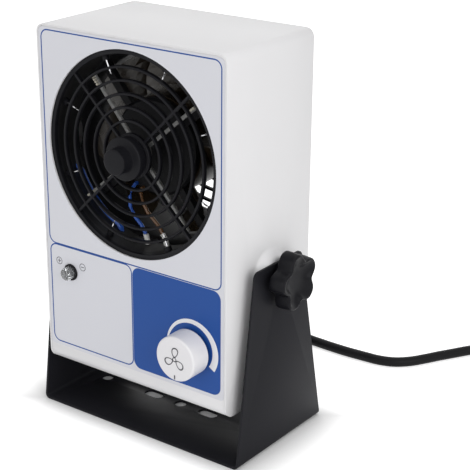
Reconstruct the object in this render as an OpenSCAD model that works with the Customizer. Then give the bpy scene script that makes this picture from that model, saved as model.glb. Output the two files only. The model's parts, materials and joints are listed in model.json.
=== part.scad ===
// Benchtop ionizing air blower: a sheet-metal housing with an axial fan, an emitter ring and a
// point cleaner behind a round outlet grille, hung between the arms of a U-shaped stand.
// Millimetres. +X is the blower's right-hand side seen from the front, the air leaves towards -Y,
// +Z is up, and the origin is the centre of the stand's underside.

/* [Housing] */
// Width over the cover's sides
housing_w = 142; // [138:1:150]
// Depth from the front face to the rear panel
housing_d = 85.5; // [84:0.5:96]
// Height of the housing
housing_h = 222; // [218:1:232]
// Height of the housing's underside above the table
housing_lift = 32; // [28:1:45]
// Outer radius of the cover's two top bends
top_bend_r = 5.4; // [3:0.2:8]
// Outer radius of the bend under the front panel
front_bend_r = 8; // [4:0.5:10]
// Thickness of the cover sheet
cover_t = 1.1; // [0.8:0.1:1.5]
// Thickness of the chassis sheet
chassis_t = 1; // [0.8:0.1:1.4]

/* [Air outlet] */
// Radius of the round outlet in the front panel
outlet_r = 63.65; // [60:0.05:64]
// Height of the outlet's centre above the housing's underside
outlet_lift = 151.4; // [148:0.2:154]
// Number of rings in each grille
ring_count = 6; // [5:1:6]
// Distance from one grille ring to the next
ring_pitch = 8; // [7.6:0.1:8]
// Width of a grille ring
ring_w = 1.6; // [1.2:0.1:2]

/* [Fan] */
// Side of the square fan frame
fan_size = 119; // [118:0.5:120]
// Depth of the fan frame
fan_depth = 38; // [32:1:38]
// Number of fan blades
blade_count = 7; // [5:1:9]
// Radius of the impeller's hub
hub_r = 31; // [28:0.5:33]

/* [Ionizer] */
// Number of emitter needles
needle_count = 8; // [4:2:8]
// Radius at which the needle tips end
needle_tip_r = 49; // [47:0.5:52]

/* [Controls] */
// Diameter of the speed knob
speed_knob_d = 28.4; // [24:0.2:30]
// Distance of the speed knob's axis to the right of the centre line
speed_knob_x = 46.1; // [40:0.1:48]
// Height of the speed knob's axis above the housing's underside
speed_knob_lift = 39.9; // [36:0.1:44]
// Distance of the indicator lamp's axis to the left of the centre line
lamp_x = 50.2; // [45:0.1:55]
// Height of the indicator lamp's axis above the housing's underside
lamp_lift = 66; // [60:0.5:70]

/* [Stand] */
// Width over the stand's arms
stand_w = 158.5; // [157:0.5:170]
// Depth of the stand's base
stand_d = 90.8; // [86:0.2:96]
// Height of the arms above the table
arm_h = 123.2; // [122:0.2:128]
// Thickness of the stand's sheet
stand_t = 1.5; // [1.5:0.1:2]
// Height of the tilt axis above the table
pivot_z = 113.5; // [111:0.5:115]
// Radius over the lobes of a tilt knob
star_r = 18.2; // [16:0.2:20]
// Number of lobes of a tilt knob
star_lobes = 5; // [4:1:6]

/* [Power cord] */
// Diameter of the power cord
cord_d = 6.8; // [6:0.2:7]

/* [Hidden] */
$fn = 64;

// Housing planes
front_y = -46.5;
rear_y = front_y + housing_d;
bottom_z = housing_lift;
top_z = housing_lift + housing_h;
half_w = housing_w / 2;
film_t = 0.25;                              // thickness of the printed film on the front panel
panel_front = front_y + film_t;             // front face of the chassis
panel_back = panel_front + chassis_t;
rear_inner = rear_y - chassis_t;
chassis_w = housing_w - 2 * cover_t - 0.2;
chassis_top = top_z - cover_t - 0.2;

// Air path, from the front to the back
air_z = housing_lift + outlet_lift;
plate_t = 3;                                // mounting plate of a grille
plate_back = panel_back + plate_t;
guard_r = 60.8;                             // inner radius of a grille's rim
ring_depth = 2.8;
hub_ring_r = 13;                            // radius of the innermost ring
hub_h = 4.8;                                // height of the outlet grille's hub
duct_back = plate_back + 18.7;
fan_front = duct_back;
fan_back = fan_front + fan_depth;
venturi_r = 58.3;
stud_offset = 52.5;                         // half the hole spacing of a 120 mm fan
stud_r = 2;
cleaner_bore_r = 2.55;
needle_y = plate_back + 3;
arm_front_y = needle_y + 2.6;               // front of the cleaner's arms
tilt_y = -4;

// Tilt joint
arm_inner = stand_w / 2 - stand_t;
boss_h = arm_inner - half_w - 0.3;
boss_base_r = 16.8;
boss_top_r = 10.5;
tilt_stud_r = 3;
tilt_bore_r = 3.08;
collar_x = stand_w / 2 + 0.3;               // inner face of a tilt knob's collar
star_x = collar_x + 3.8;
star_h = 10.8;

// Stand
base_bend_r = 3.5;
front_taper = 0.132;
rear_taper = 0.215;
arm_corner_r = 4;
mount_hole_r = 4;
slot_l = 14;
slot_x = 22.5;
outer_hole_x = 63.5;

// Cord route: round numbers, in millimetres, at the cord's centre line
cord_r = cord_d / 2;
gland_x = -60;
gland_z = 44;
gland_l = 24;
coil_c = [-28, 99];
coil_inner = 27.3;
coil_outer = coil_inner + 3 * cord_d;
coil_h = 3 * cord_d;
LEAD = [[-60, 63.2, 44], [-60, 66, 44], [-60.2, 72, 43.2], [-60.6, 79, 41.2], [-61.4, 85.6, 38],
    [-62, 92, 34.2], [-62, 98, 30], [-61, 104, 25.8], [-59, 110, 22.2], [-55.6, 115.4, 19.2],
    [-51, 120.4, 17.5], [-45.4, 124.6, 17]];
TAIL = [[-6, 137.4, 3.4], [1, 134, 3.4], [8.6, 131.9, 3.4], [16.6, 131, 3.4], [26, 130.4, 3.4],
    [36, 130, 3.4], [48, 130, 3.4], [61, 130.8, 3.4], [73, 132, 3.4], [83, 136, 3.4],
    [91, 143.6, 3.4], [97, 153, 3.4], [102, 162, 3.4], [108, 172, 3.4], [115, 183, 3.6],
    [123, 192, 4.4], [134, 198.4, 6.4], [146, 200, 9], [153, 200, 10], [156, 200, 10]];
plug_x = 156;
plug_y = 200;
plug_z = 10;

// ---------------------------------------------------------------- helpers

// Points of an arc about c from angle a0 to a1 in n steps; one point when the radius is nil.
function arc(c, r, a0, a1, n = 6) =
    r <= 0 ? [c] : [for (i = [0:n]) let (a = a0 + (a1 - a0) * i / n) c + r * [cos(a), sin(a)]];

// Outline of a rectangle with its own radius at each corner: lower left, lower right,
// upper right, upper left.
function rounded_rect(x0, y0, x1, y1, r) = concat(
    arc([x0 + r[0], y0 + r[0]], r[0], 180, 270),
    arc([x1 - r[1], y0 + r[1]], r[1], 270, 360),
    arc([x1 - r[2], y1 - r[2]], r[2], 0, 90),
    arc([x0 + r[3], y1 - r[3]], r[3], 90, 180));

// Extrudes a (y, z) outline along X, from x0 to x1.
module along_x(x0, x1) {
    translate([x0, 0, 0]) rotate([90, 0, 90]) linear_extrude(x1 - x0) children();
}

// Extrudes an (x, z) outline along Y, from y0 to y1.
module along_y(y0, y1) {
    translate([0, y1, 0]) rotate([90, 0, 0]) linear_extrude(y1 - y0) children();
}

// Round bar along Y.
module rod_y(x, z, y0, y1, r, fn = 64) {
    translate([x, y1, z]) rotate([90, 0, 0]) cylinder(h = y1 - y0, r = r, $fn = fn);
}

// Round bar along X.
module rod_x(y, z, x0, x1, r, fn = 64) {
    translate([x0, y, z]) rotate([0, 90, 0]) cylinder(h = x1 - x0, r = r, $fn = fn);
}

// Revolves a (radius, forward) outline about the air axis; forward 0 is the plane y.
module turned_y(x, y, z) {
    translate([x, y, z]) rotate([90, 0, 0]) rotate_extrude() children();
}

// Copies its children to the four fan stud positions.
module at_studs() {
    for (sx = [-1, 1], sz = [-1, 1]) translate([sx * stud_offset, 0, air_z + sz * stud_offset]) children();
}

// Block between two corners.
module block(a, b) {
    translate(a) cube(b - a);
}

function unit(v) = v / norm(v);
function cross_frame(t) = abs(t[2]) < 0.9 ? unit(cross(t, [0, 0, 1])) : [1, 0, 0];

// Direction of a route at its point i, from its neighbours.
function heading(p, i) = unit(p[min(i + 1, len(p) - 1)] - p[max(i - 1, 0)]);

// A closed tube swept along the points of a route, with the given number of sides.
module tube(route, r, sides = 8) {
    n = len(route);
    rings = [for (i = [0:n - 1])
        let (t = heading(route, i), u = cross_frame(t), v = cross(t, u))
        for (k = [0:sides - 1]) route[i] + r * (cos(360 * k / sides) * u + sin(360 * k / sides) * v)];
    walls = [for (i = [0:n - 2], k = [0:sides - 1])
        let (a = i * sides + k, b = i * sides + (k + 1) % sides)
        each [[a, b, b + sides], [a, b + sides, a + sides]]];
    caps = [[for (k = [sides - 1:-1:0]) k], [for (k = [0:sides - 1]) (n - 1) * sides + k]];
    polyhedron(rings, concat(walls, caps));
}

// Smooth step from 0 to 1.
function ease(t) = t * t * (3 - 2 * t);

// ---------------------------------------------------------------- stand

module arm_outline() {
    front_top = -stand_d / 2 + front_taper * arm_h;
    rear_top = stand_d / 2 - rear_taper * arm_h;
    polygon(concat(
        [[-stand_d / 2, 0], [stand_d / 2, 0]],
        arc([rear_top - arm_corner_r * 0.8, arm_h - arm_corner_r], arm_corner_r, 12, 90),
        arc([front_top + arm_corner_r * 0.88, arm_h - arm_corner_r], arm_corner_r, 90, 172)));
}

module stand_bracket() {
    w = stand_w / 2;
    color([0.16, 0.16, 0.17]) difference() {
        intersection() {
            along_y(-stand_d / 2, stand_d / 2) difference() {
                polygon(rounded_rect(-w, 0, w, arm_h + 1, [base_bend_r, base_bend_r, 0, 0]));
                polygon(rounded_rect(-w + stand_t, stand_t, w - stand_t, arm_h + 2,
                    [base_bend_r - stand_t, base_bend_r - stand_t, 0, 0]));
            }
            along_x(-w - 1, w + 1) arm_outline();
        }
        for (x = [-outer_hole_x, 0, outer_hole_x])
            translate([x, 0, -1]) cylinder(h = stand_t + 2, r = mount_hole_r);
        for (s = [-1, 1], e = [-1, 1])
            translate([s * slot_x + e * (slot_l / 2 - mount_hole_r), 0, -1])
                cylinder(h = stand_t + 2, r = mount_hole_r);
        for (s = [-1, 1])
            translate([s * slot_x - slot_l / 2 + mount_hole_r, -mount_hole_r, -1])
                cube([slot_l - 2 * mount_hole_r, 2 * mount_hole_r, stand_t + 2]);
        rod_x(tilt_y, pivot_z, -w - 1, w + 1, tilt_bore_r);
    }
}

// ---------------------------------------------------------------- housing shells

// Front, underside and rear in one bent sheet, open at the top and at both ends.
module chassis() {
    rear_bend_r = 3;
    color([0.93, 0.93, 0.92]) difference() {
        intersection() {
            along_x(-chassis_w / 2, chassis_w / 2) difference() {
                polygon(rounded_rect(panel_front, bottom_z, rear_y, chassis_top,
                    [front_bend_r, rear_bend_r, 0, 0]));
                polygon(rounded_rect(panel_back, bottom_z + chassis_t, rear_inner, chassis_top + 1,
                    [front_bend_r - chassis_t, rear_bend_r - chassis_t, 0, 0]));
            }
            along_y(front_y - 1, rear_y + 1)
                polygon(rounded_rect(-chassis_w / 2, bottom_z - 1, chassis_w / 2, chassis_top,
                    [0, 0, top_bend_r - cover_t, top_bend_r - cover_t]));
        }
        rod_y(0, air_z, panel_front - 1, panel_back + 1, outlet_r);
        rod_y(0, air_z, rear_inner - 1, rear_y + 1, venturi_r);
        rod_y(speed_knob_x, bottom_z + speed_knob_lift, panel_front - 1, panel_back + 1, 3.6);
        rod_y(-lamp_x, bottom_z + lamp_lift, panel_front - 1, panel_back + 1, 4.05);
        rod_y(gland_x, gland_z, rear_inner - 1, rear_y + 1, 6.1);
        rod_y(fuse_x, fuse_z, rear_inner - 1, rear_y + 1, 6.1);
        rod_y(earth_x, earth_z, rear_inner - 1, rear_y + 1, 2.1);
        for (sx = [-1, 1], sz = [-1, 1])
            rod_y(sx * stud_offset, air_z + sz * stud_offset, rear_inner - 1, rear_y + 1, stud_r + 0.1);
        for (x = [-1, 1], y = cover_screw_y)
            translate([x * cover_screw_x, y, bottom_z - 1]) cylinder(h = chassis_t + 2, r = 1.6);
    }
}

cover_screw_x = 63;
cover_screw_y = [-28, 24];
fuse_x = 40;
fuse_z = 74;
earth_x = 0;
earth_z = 50;

// Profile of a pressed boss on the cover's side: radius against height over the sheet.
function boss_radius(t) = boss_base_r + (boss_top_r - boss_base_r) * t;
function boss_height(t) = boss_h * ease(t);

module boss_dome(inset) {
    steps = 7;
    rotate_extrude() polygon(concat([[0, -cover_t - 0.01 - inset]],
        [[boss_base_r - inset, -cover_t - 0.01 - inset]],
        [for (i = [0:steps]) let (t = i / steps) [boss_radius(t) - inset, boss_height(t) - inset]],
        [[0, boss_h - inset]]));
}

// Top and both sides in one bent sheet, with a pressed boss on each side for the tilt joint
// and an inward flange along the foot of each side.
module cover() {
    flange_w = 11.5;
    flange_y = -34;
    flange_l = 64;
    flange_z = bottom_z + chassis_t + 0.05;
    color([0.95, 0.95, 0.94]) difference() {
        union() {
            difference() {
                intersection() {
                    along_y(front_y, rear_y) difference() {
                        polygon(rounded_rect(-half_w, bottom_z, half_w, top_z, [0, 0, top_bend_r, top_bend_r]));
                        polygon(rounded_rect(-half_w + cover_t, bottom_z - 1, half_w - cover_t,
                            top_z - cover_t, [0, 0, top_bend_r - cover_t, top_bend_r - cover_t]));
                    }
                    along_x(-half_w - 1, half_w + 1)
                        polygon(rounded_rect(front_y, bottom_z, rear_y, top_z, [front_bend_r, 3, 0, 0]));
                }
                for (s = [-1, 1]) rod_x(tilt_y, pivot_z, s * half_w - 3, s * half_w + 3, boss_base_r - 1);
            }
            for (s = [-1, 1]) translate([s * half_w, tilt_y, pivot_z]) rotate([0, s * 90, 0]) difference() {
                boss_dome(0);
                boss_dome(cover_t);
            }
            for (s = [-1, 1]) translate([s * (half_w - 0.5 - flange_w / 2), flange_y, flange_z])
                translate([-flange_w / 2, 0, 0]) cube([flange_w, flange_l, cover_t]);
        }
        rod_x(tilt_y, pivot_z, -half_w - boss_h - 1, half_w + boss_h + 1, tilt_bore_r);
        for (s = [-1, 1], y = cover_screw_y)
            translate([s * cover_screw_x, y, bottom_z]) cylinder(h = 4, r = 1.55);
    }
}

module cover_screws() {
    color("silver") for (s = [-1, 1], y = cover_screw_y) translate([s * cover_screw_x, y, bottom_z]) {
        translate([0, 0, -1.6]) cylinder(h = 1.6, r = 2.8);
        cylinder(h = 5, r = 1.5);
    }
}

// Printed film that covers the flat of the front panel.
module front_overlay() {
    film_bottom = bottom_z + 12.4;
    film_top = chassis_top - 0.4;
    color([0.86, 0.87, 0.9]) difference() {
        along_y(front_y, panel_front)
            polygon(rounded_rect(-chassis_w / 2 + 0.4, film_bottom, chassis_w / 2 - 0.4, film_top, [2, 2, 3.5, 3.5]));
        rod_y(0, air_z, front_y - 1, panel_front + 1, outlet_r);
        rod_y(speed_knob_x, bottom_z + speed_knob_lift, front_y - 1, panel_front + 1, 3.6);
        rod_y(-lamp_x, bottom_z + lamp_lift, front_y - 1, panel_front + 1, 4.05);
    }
}

// ---------------------------------------------------------------- grilles

function ring_radius(i) = hub_ring_r + i * ring_pitch;

// Concentric rings and a cross of four spokes, set in a plate for a 120 mm fan.
module grille_body(back_y, depth) {
    half = fan_size / 2;
    difference() {
        union() {
            along_y(back_y - plate_t, back_y) translate([0, air_z])
                polygon(rounded_rect(-half, -half, half, half, [8, 8, 8, 8]));
            rod_y(0, air_z, back_y - plate_t, back_y, 66.4);
        }
        rod_y(0, air_z, back_y - plate_t - 1, back_y + 1, guard_r);
        at_studs() rotate([90, 0, 0]) cylinder(h = 200, r = stud_r + 0.2, center = true);
    }
    turned_y(0, back_y, air_z) for (i = [0:ring_count - 1]) translate([ring_radius(i), 0])
        polygon([[-ring_w / 2, 0], [ring_w / 2, 0], [ring_w / 2, depth - 0.5], [ring_w / 2 - 0.45, depth],
            [-ring_w / 2 + 0.45, depth], [-ring_w / 2, depth - 0.5]]);
    for (a = [45:90:315]) translate([0, back_y, air_z]) rotate([0, a, 0])
        translate([hub_ring_r - 0.5, -depth + 0.35, -ring_w / 2])
            cube([guard_r - hub_ring_r + 1, depth - 0.35, ring_w]);
}

module outlet_grille() {
    color([0.14, 0.14, 0.15]) difference() {
        union() {
            grille_body(plate_back, ring_depth);
            turned_y(0, plate_back, air_z)
                polygon([[0, 0], [hub_ring_r, 0], [hub_ring_r, 2.9], [11, 3.6], [10, hub_h], [0, hub_h]]);
        }
        rod_y(0, air_z, plate_back - 10, plate_back + 5, cleaner_bore_r);
    }
}

module rear_guard() {
    color([0.14, 0.14, 0.15]) {
        mirror([0, 1, 0]) grille_body(-rear_y, ring_depth);
        translate([0, rear_y + ring_depth, air_z]) rotate([90, 0, 0]) cylinder(h = ring_depth, r = hub_ring_r);
    }
}

module guard_screws() {
    color("silver") for (sx = [-1, 1], sz = [-1, 1]) {
        rod_y(sx * stud_offset, air_z + sz * stud_offset, rear_y + plate_t, rear_y + plate_t + 2, 3.6);
        rod_y(sx * stud_offset, air_z + sz * stud_offset, rear_y - 6, rear_y + plate_t, stud_r);
    }
}

module guard_nuts() {
    color("silver") at_studs() translate([0, rear_inner, 0]) rotate([90, 0, 0]) difference() {
        cylinder(h = 3.2, r = 4, $fn = 6);
        translate([0, 0, -1]) cylinder(h = 6, r = stud_r + 0.02);
    }
}

// ---------------------------------------------------------------- emitter ring

module duct_ring() {
    color([0.2, 0.2, 0.21]) difference() {
        rod_y(0, air_z, plate_back, duct_back, 64.6);
        rod_y(0, air_z, plate_back - 1, duct_back + 1, guard_r);
        for (i = [0:needle_count - 1]) translate([0, needle_y, air_z]) rotate([0, needle_angle(i), 0])
            translate([guard_r - 2, 0, 0]) rotate([0, 90, 0]) cylinder(h = 8, r = 1.6);
    }
}

function needle_angle(i) = 22.5 + 360 / needle_count * i;

// Insulating sleeves pressed through the duct ring, each holding one needle.
module emitter_sockets() {
    color([0.12, 0.12, 0.13]) for (i = [0:needle_count - 1]) translate([0, needle_y, air_z]) rotate([0, needle_angle(i), 0])
        difference() {
            union() {
                translate([guard_r - 3, 0, 0]) rotate([0, 90, 0]) cylinder(h = 8.4, r = 1.55);
                translate([guard_r - 3, 0, 0]) rotate([0, 90, 0]) cylinder(h = 2.6, r = 2.2);
            }
            translate([guard_r - 4, 0, 0]) rotate([0, 90, 0]) cylinder(h = 12, r = 0.52);
        }
}

module emitter_needles() {
    color([0.8, 0.8, 0.82]) for (i = [0:needle_count - 1]) translate([0, needle_y, air_z]) rotate([0, needle_angle(i), 0])
        {
            translate([needle_tip_r + 3, 0, 0]) rotate([0, 90, 0]) cylinder(h = 13, r = 0.5, $fn = 16);
            translate([needle_tip_r, 0, 0]) rotate([0, 90, 0]) cylinder(h = 3, r1 = 0.06, r2 = 0.5, $fn = 16);
        }
}

// Points along the duct wall: radius, first and last angle, and the y at each end.
function wall_route(r, a0, a1, y0, y1, n) =
    [for (i = [0:n]) let (t = i / max(n, 1), a = a0 + (a1 - a0) * t)
        [r * cos(a), y0 + (y1 - y0) * t, air_z + r * sin(a)]];

hv_r = 1.7;
hv_path_r = guard_r - hv_r - 0.6;
hv_y = plate_back + 13;

// High-tension lead: it enters through the duct's wall, runs round the inside and leaves again.
module hv_lead() {
    color([0.16, 0.3, 0.75]) tube(concat(wall_route(guard_r + 1.6, 199, 199, hv_y, hv_y, 0),
        wall_route(guard_r - 0.8, 201, 201, hv_y, hv_y, 0),
        wall_route(hv_path_r, 204, 244, hv_y, hv_y + 1, 10),
        wall_route(guard_r - 0.8, 247, 247, hv_y + 1, hv_y + 1, 0),
        wall_route(guard_r + 1.6, 249, 249, hv_y + 1, hv_y + 1, 0)), hv_r);
}

// Insulating sleeves at the wall end of the motor's two leads.
module lead_sleeves() {
    color([0.9, 0.9, 0.88]) translate([0, 0, air_z]) {
        tube([[-3, -29, -54.2], [-2, -29, -57], [-1.6, -29, -60.2]], 1.8);
        tube([[8.6, -27, -52], [10.6, -27, -55], [11.8, -27, -58.8]], 1.8);
    }
}

// ---------------------------------------------------------------- point cleaner

module cleaner_knob() {
    gap = 0.3;
    hub_front = plate_back - hub_h;
    color([0.12, 0.12, 0.13]) {
        turned_y(0, hub_front - gap, air_z) polygon(concat(
            [[0, 0], [13.3, 0]], arc([12.5, 4.5], 0.8, 0, 90, 3),
            [[8.4, 5.3]], arc([7.4, 13], 0.8, 5, 90, 3), [[6.4, 13.5], [0, 13.5]]));
        rod_y(0, air_z, hub_front - gap - 0.5, plate_back + 11.5, cleaner_bore_r - 0.05);
    }
}

// Four slim arms behind the grille that carry the bristle blocks.
module cleaner_spider() {
    arm_t = 2;
    color([0.8, 0.8, 0.78]) difference() {
        union() {
            rod_y(0, air_z, plate_back + 0.3, arm_front_y + arm_t + 1.5, 6.5);
            for (a = [0:90:270]) translate([0, arm_front_y, air_z]) rotate([0, a - 40, 0])
                translate([4, 0, -1.1]) cube([51, arm_t, 2.2]);
        }
        rod_y(0, air_z, plate_back - 5, arm_front_y + 20, cleaner_bore_r - 0.06);
    }
}

module cleaner_bristles() {
    bristle_front = needle_y + 0.8;
    color([0.9, 0.88, 0.8]) for (a = [0:90:270], k = [0:3]) translate([0, 0, air_z]) rotate([0, a - 40, 0])
        translate([needle_tip_r - 0.6 + 1.7 * k, bristle_front, 0]) rotate([-90, 0, 0])
            cylinder(h = arm_front_y - bristle_front, r = 0.7, $fn = 16);
}

// ---------------------------------------------------------------- fan

module fan_frame() {
    half = fan_size / 2;
    flange_t = 4.5;
    color([0.15, 0.15, 0.16]) {
        difference() {
            intersection() {
                along_y(fan_front, fan_back) translate([0, air_z])
                    polygon(rounded_rect(-half, -half, half, half, [5, 5, 5, 5]));
                union() {
                    for (y = [fan_front, fan_back - flange_t])
                        block([-half, y, air_z - half], [half, y + flange_t, air_z + half]);
                    rod_y(0, air_z, fan_front, fan_back, 62);
                }
            }
            rod_y(0, air_z, fan_front - 1, fan_back + 1, venturi_r);
            turned_y(0, fan_front + 6, air_z) polygon([[venturi_r - 1, 0], [venturi_r, 0], [60.4, 6.1], [venturi_r - 1, 6.1]]);
            at_studs() rotate([90, 0, 0]) cylinder(h = 200, r = stud_r + 0.2, center = true);
        }
        difference() {
            for (a = [0:90:270]) translate([0, fan_front + 0.4, air_z]) rotate([0, a - 40, 0]) {
                translate([hub_r - 2, 0, -2.6]) cube([venturi_r - hub_r + 3, 4.2, 5.2]);
                translate([hub_r - 2, 0, -1.1]) cube([venturi_r - hub_r + 3, 5.4, 2.2]);
            }
            rod_y(0, air_z, fan_front - 1, fan_front + 10, hub_r - 0.8);
        }
    }
}

motor_y = fan_front + 0.4;                  // front face of the motor's base
cup_front = motor_y + 6.2;                  // open edge of the rotor's hub
cup_back = fan_back - 3;

module fan_motor() {
    color([0.25, 0.25, 0.27]) difference() {
        union() {
            turned_y(0, motor_y, air_z) rotate(180) mirror([1, 0])
                polygon([[0, 0], [hub_r - 2.4, 0], [hub_r - 0.8, 1.6], [hub_r - 0.8, 5], [0, 5]]);
            rod_y(0, air_z, motor_y + 4, cup_back - 5, 9);
            rod_y(0, air_z, motor_y + 7, cup_back - 8, 24);
        }
        rod_y(0, air_z, motor_y + 2, cup_back, 6.5);
    }
}

module fan_bearings() {
    color("silver") for (y = [motor_y + 6, cup_back - 11]) difference() {
        rod_y(0, air_z, y, y + 5, 6.5);
        rod_y(0, air_z, y - 1, y + 6, 2.55);
    }
}

module fan_shaft() {
    color("silver") rod_y(0, air_z, motor_y + 3, cup_back - 3, 2.5);
}

// Blade surface: u runs from root to tip, v from leading to trailing edge. The pitch falls and the
// blade sweeps forward towards the tip; camber bows the chord.
blade_root_r = hub_r - 0.6;
blade_tip_r = venturi_r - 1.6;
blade_span_y = cup_back - cup_front - 2;
function blade_point(u, v, side) =
    let (r = blade_root_r + (blade_tip_r - blade_root_r) * u,
        pitch = 47 - 17 * u,
        chord = 34 + 8 * u,
        s = (v - 0.5) * chord,
        bow = 3.4 * (1 - pow(2 * v - 1, 2)),
        thick = side * (0.45 + 0.55 * sin(180 * v)),
        along = s * sin(pitch) * min(1, blade_span_y / (chord * sin(pitch))) - (bow + thick) * cos(pitch) * 0.6,
        around = s * cos(pitch) + (bow + thick) * sin(pitch),
        a = around / r * 180 / PI + 14 * u * u)
    [r * sin(a), along, r * cos(a)];

module blade() {
    nu = 5;
    nv = 7;
    row = nv + 1;
    count = (nu + 1) * row;
    points = [for (side = [-1, 1], i = [0:nu], j = [0:nv]) blade_point(i / nu, j / nv, side)];
    skin = [for (i = [0:nu - 1], j = [0:nv - 1]) let (a = i * row + j)
        each [[a, a + 1, a + row + 1], [a, a + row + 1, a + row]]];
    back = [for (f = skin) [f[0] + count, f[2] + count, f[1] + count]];
    rim = concat([for (j = [0:nv]) j], [for (i = [1:nu]) i * row + nv],
        [for (j = [nv - 1:-1:0]) nu * row + j], [for (i = [nu - 1:-1:1]) i * row]);
    edge = [for (k = [0:len(rim) - 1]) let (a = rim[k], b = rim[(k + 1) % len(rim)])
        each [[b, a, a + count], [b, a + count, b + count]]];
    polyhedron(points, concat(skin, back, edge));
}

module fan_rotor() {
    color([0.13, 0.12, 0.12]) {
        difference() {
            turned_y(0, cup_back, air_z) polygon(concat([[0, 0], [hub_r - 3, 0], [hub_r, 3],
                [hub_r, cup_back - cup_front], [hub_r - 2.5, cup_back - cup_front], [hub_r - 2.5, 3], [0, 3]]));
            rod_y(0, air_z, cup_front - 1, cup_back + 1, 2.5);
        }
        difference() {
            rod_y(0, air_z, cup_back - 4.6, cup_back - 2.9, 5.6);
            rod_y(0, air_z, cup_front - 1, cup_back + 1, 2.5);
        }
        for (k = [0:blade_count - 1])
            translate([0, (cup_front + cup_back) / 2, air_z]) rotate([0, 360 / blade_count * k, 0]) blade();
    }
}

module fan_studs() {
    color("silver") at_studs() rotate([90, 0, 0]) translate([0, 0, -fan_back - 5.5])
        cylinder(h = fan_back + 5.5 - panel_back, r = stud_r);
}

module fan_spacers() {
    color("silver") at_studs() translate([0, duct_back, 0]) rotate([90, 0, 0]) difference() {
        cylinder(h = duct_back - plate_back, r = 4);
        translate([0, 0, -1]) cylinder(h = 30, r = stud_r + 0.2);
    }
}

module fan_nuts() {
    color("silver") at_studs() translate([0, fan_back + 3.2, 0]) rotate([90, 0, 0]) difference() {
        cylinder(h = 3.2, r = 4, $fn = 6);
        translate([0, 0, -1]) cylinder(h = 6, r = stud_r + 0.02);
    }
}

// Supply leads of the motor, from its front face down to their sleeves at the duct's wall.
BLUE_LEAD = [[-14, motor_y, -25], [-14, -25, -25.3], [-14.6, -27.4, -28], [-15.6, -28.6, -33],
    [-15, -29, -39], [-11, -29, -45], [-6, -29, -49.4], [-3, -29, -54.2]];
BROWN_LEAD = [[-9, motor_y, -27], [-9, -25, -27.2], [-8.6, -26.4, -29.6], [-6.6, -27, -35],
    [-3, -27, -40.4], [2, -27, -44.6], [6, -27, -48], [8.6, -27, -52]];

module fan_lead_blue() {
    color([0.16, 0.3, 0.75]) translate([0, 0, air_z]) tube(BLUE_LEAD, 1.2);
}

module fan_lead_brown() {
    color([0.4, 0.24, 0.14]) translate([0, 0, air_z]) tube(BROWN_LEAD, 1.2);
}

// ---------------------------------------------------------------- inner parts

hv_post_x = [-56, -4.5];

module hv_module() {
    color([0.1, 0.1, 0.11]) difference() {
        union() {
            block([-52, -26, 44], [-8, 16, 78]);
            block([-60, -12, 44], [-1, 2, 47]);
            rod_y(-42, 66, 16, 22, 5);
            rod_y(-20, 66, 16, 22, 5);
        }
        for (x = hv_post_x) translate([x, -5, 40]) cylinder(h = 10, r = 1.6);
    }
}

module board_posts() {
    color("silver") {
        for (x = [12, 56], y = [-20, 20]) translate([x, y, bottom_z + chassis_t]) cylinder(h = 9, r = 2.5);
        for (x = hv_post_x)
            translate([x, -5, bottom_z + chassis_t]) cylinder(h = 44 - bottom_z - chassis_t, r = 2.5);
    }
}

module circuit_board() {
    z = bottom_z + chassis_t + 9;
    color([0.1, 0.35, 0.2]) difference() {
        block([7, -25, z], [61, 25, z + 1.6]);
        for (x = [12, 56], y = [-20, 20]) translate([x, y, z - 1]) cylinder(h = 4, r = 1.6);
    }
}

module board_parts() {
    z = bottom_z + chassis_t + 10.6;
    color([0.2, 0.25, 0.4]) {
        block([18, -2, z], [40, 20, z + 16]);
        translate([49, -6, z]) cylinder(h = 14, r = 5);
        translate([49, 7, z]) cylinder(h = 14, r = 5);
        block([17, -22, z], [45, -12, z + 10]);
    }
}

module speed_control() {
    z = bottom_z + speed_knob_lift;
    color([0.35, 0.36, 0.38]) difference() {
        union() {
            rod_y(speed_knob_x, z, panel_back, panel_back + 9, 12);
            rod_y(speed_knob_x, z, panel_front - 2.2, panel_back + 1, 3.5);
            block([speed_knob_x - 9, panel_back + 9, z - 9], [speed_knob_x + 9, panel_back + 15, z + 9]);
        }
        rod_y(speed_knob_x, z, panel_front - 5, panel_back + 6, 2.05);
    }
}

module control_nut() {
    z = bottom_z + speed_knob_lift;
    color("silver") difference() {
        rod_y(speed_knob_x, z, front_y - 1.8, front_y, 5.6, 6);
        rod_y(speed_knob_x, z, front_y - 3, front_y + 1, 3.52);
    }
}

// Plain cylinder with a rounded front edge, a shallow crown and a shaft that enters the control.
module speed_knob() {
    r = speed_knob_d / 2;
    base = front_y - 2.6;
    len = 14.4;
    z = bottom_z + speed_knob_lift;
    color([0.92, 0.92, 0.92]) {
        turned_y(speed_knob_x, base, z) polygon(concat(
            [[6.6, 0], [r - 0.3, 0], [r, 0.4]], arc([r - 1.3, len - 1.3], 1.3, 0, 90),
            [[0, len + 0.25], [0, 3], [6.6, 3]]));
        rod_y(speed_knob_x, z, base - 3.4, panel_back + 4, 2);
    }
}

module lamp_bezel() {
    z = bottom_z + lamp_lift;
    color([0.08, 0.08, 0.09]) difference() {
        union() {
            turned_y(-lamp_x, front_y, z) polygon([[0, 0], [5.4, 0], [5.4, 0.8], [4.9, 1.5], [0, 1.5]]);
            rod_y(-lamp_x, z, front_y - 0.2, panel_back + 12, 4);
        }
        rod_y(-lamp_x, z, front_y - 3, panel_back + 8, 3.55);
        turned_y(-lamp_x, front_y, z) polygon([[0, 0.6], [4.35, 0.6], [4.35, 2], [0, 2]]);
    }
}

module lamp_lens() {
    z = bottom_z + lamp_lift;
    color([0.75, 0.76, 0.78, 0.7]) turned_y(-lamp_x, front_y, z) polygon(concat(
        [[0, -6], [3.5, -6], [3.5, 0.6], [4.3, 0.6]], arc([3.2, 5.6], 1.1, 0, 90), [[0, 6.9]]));
}

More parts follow.
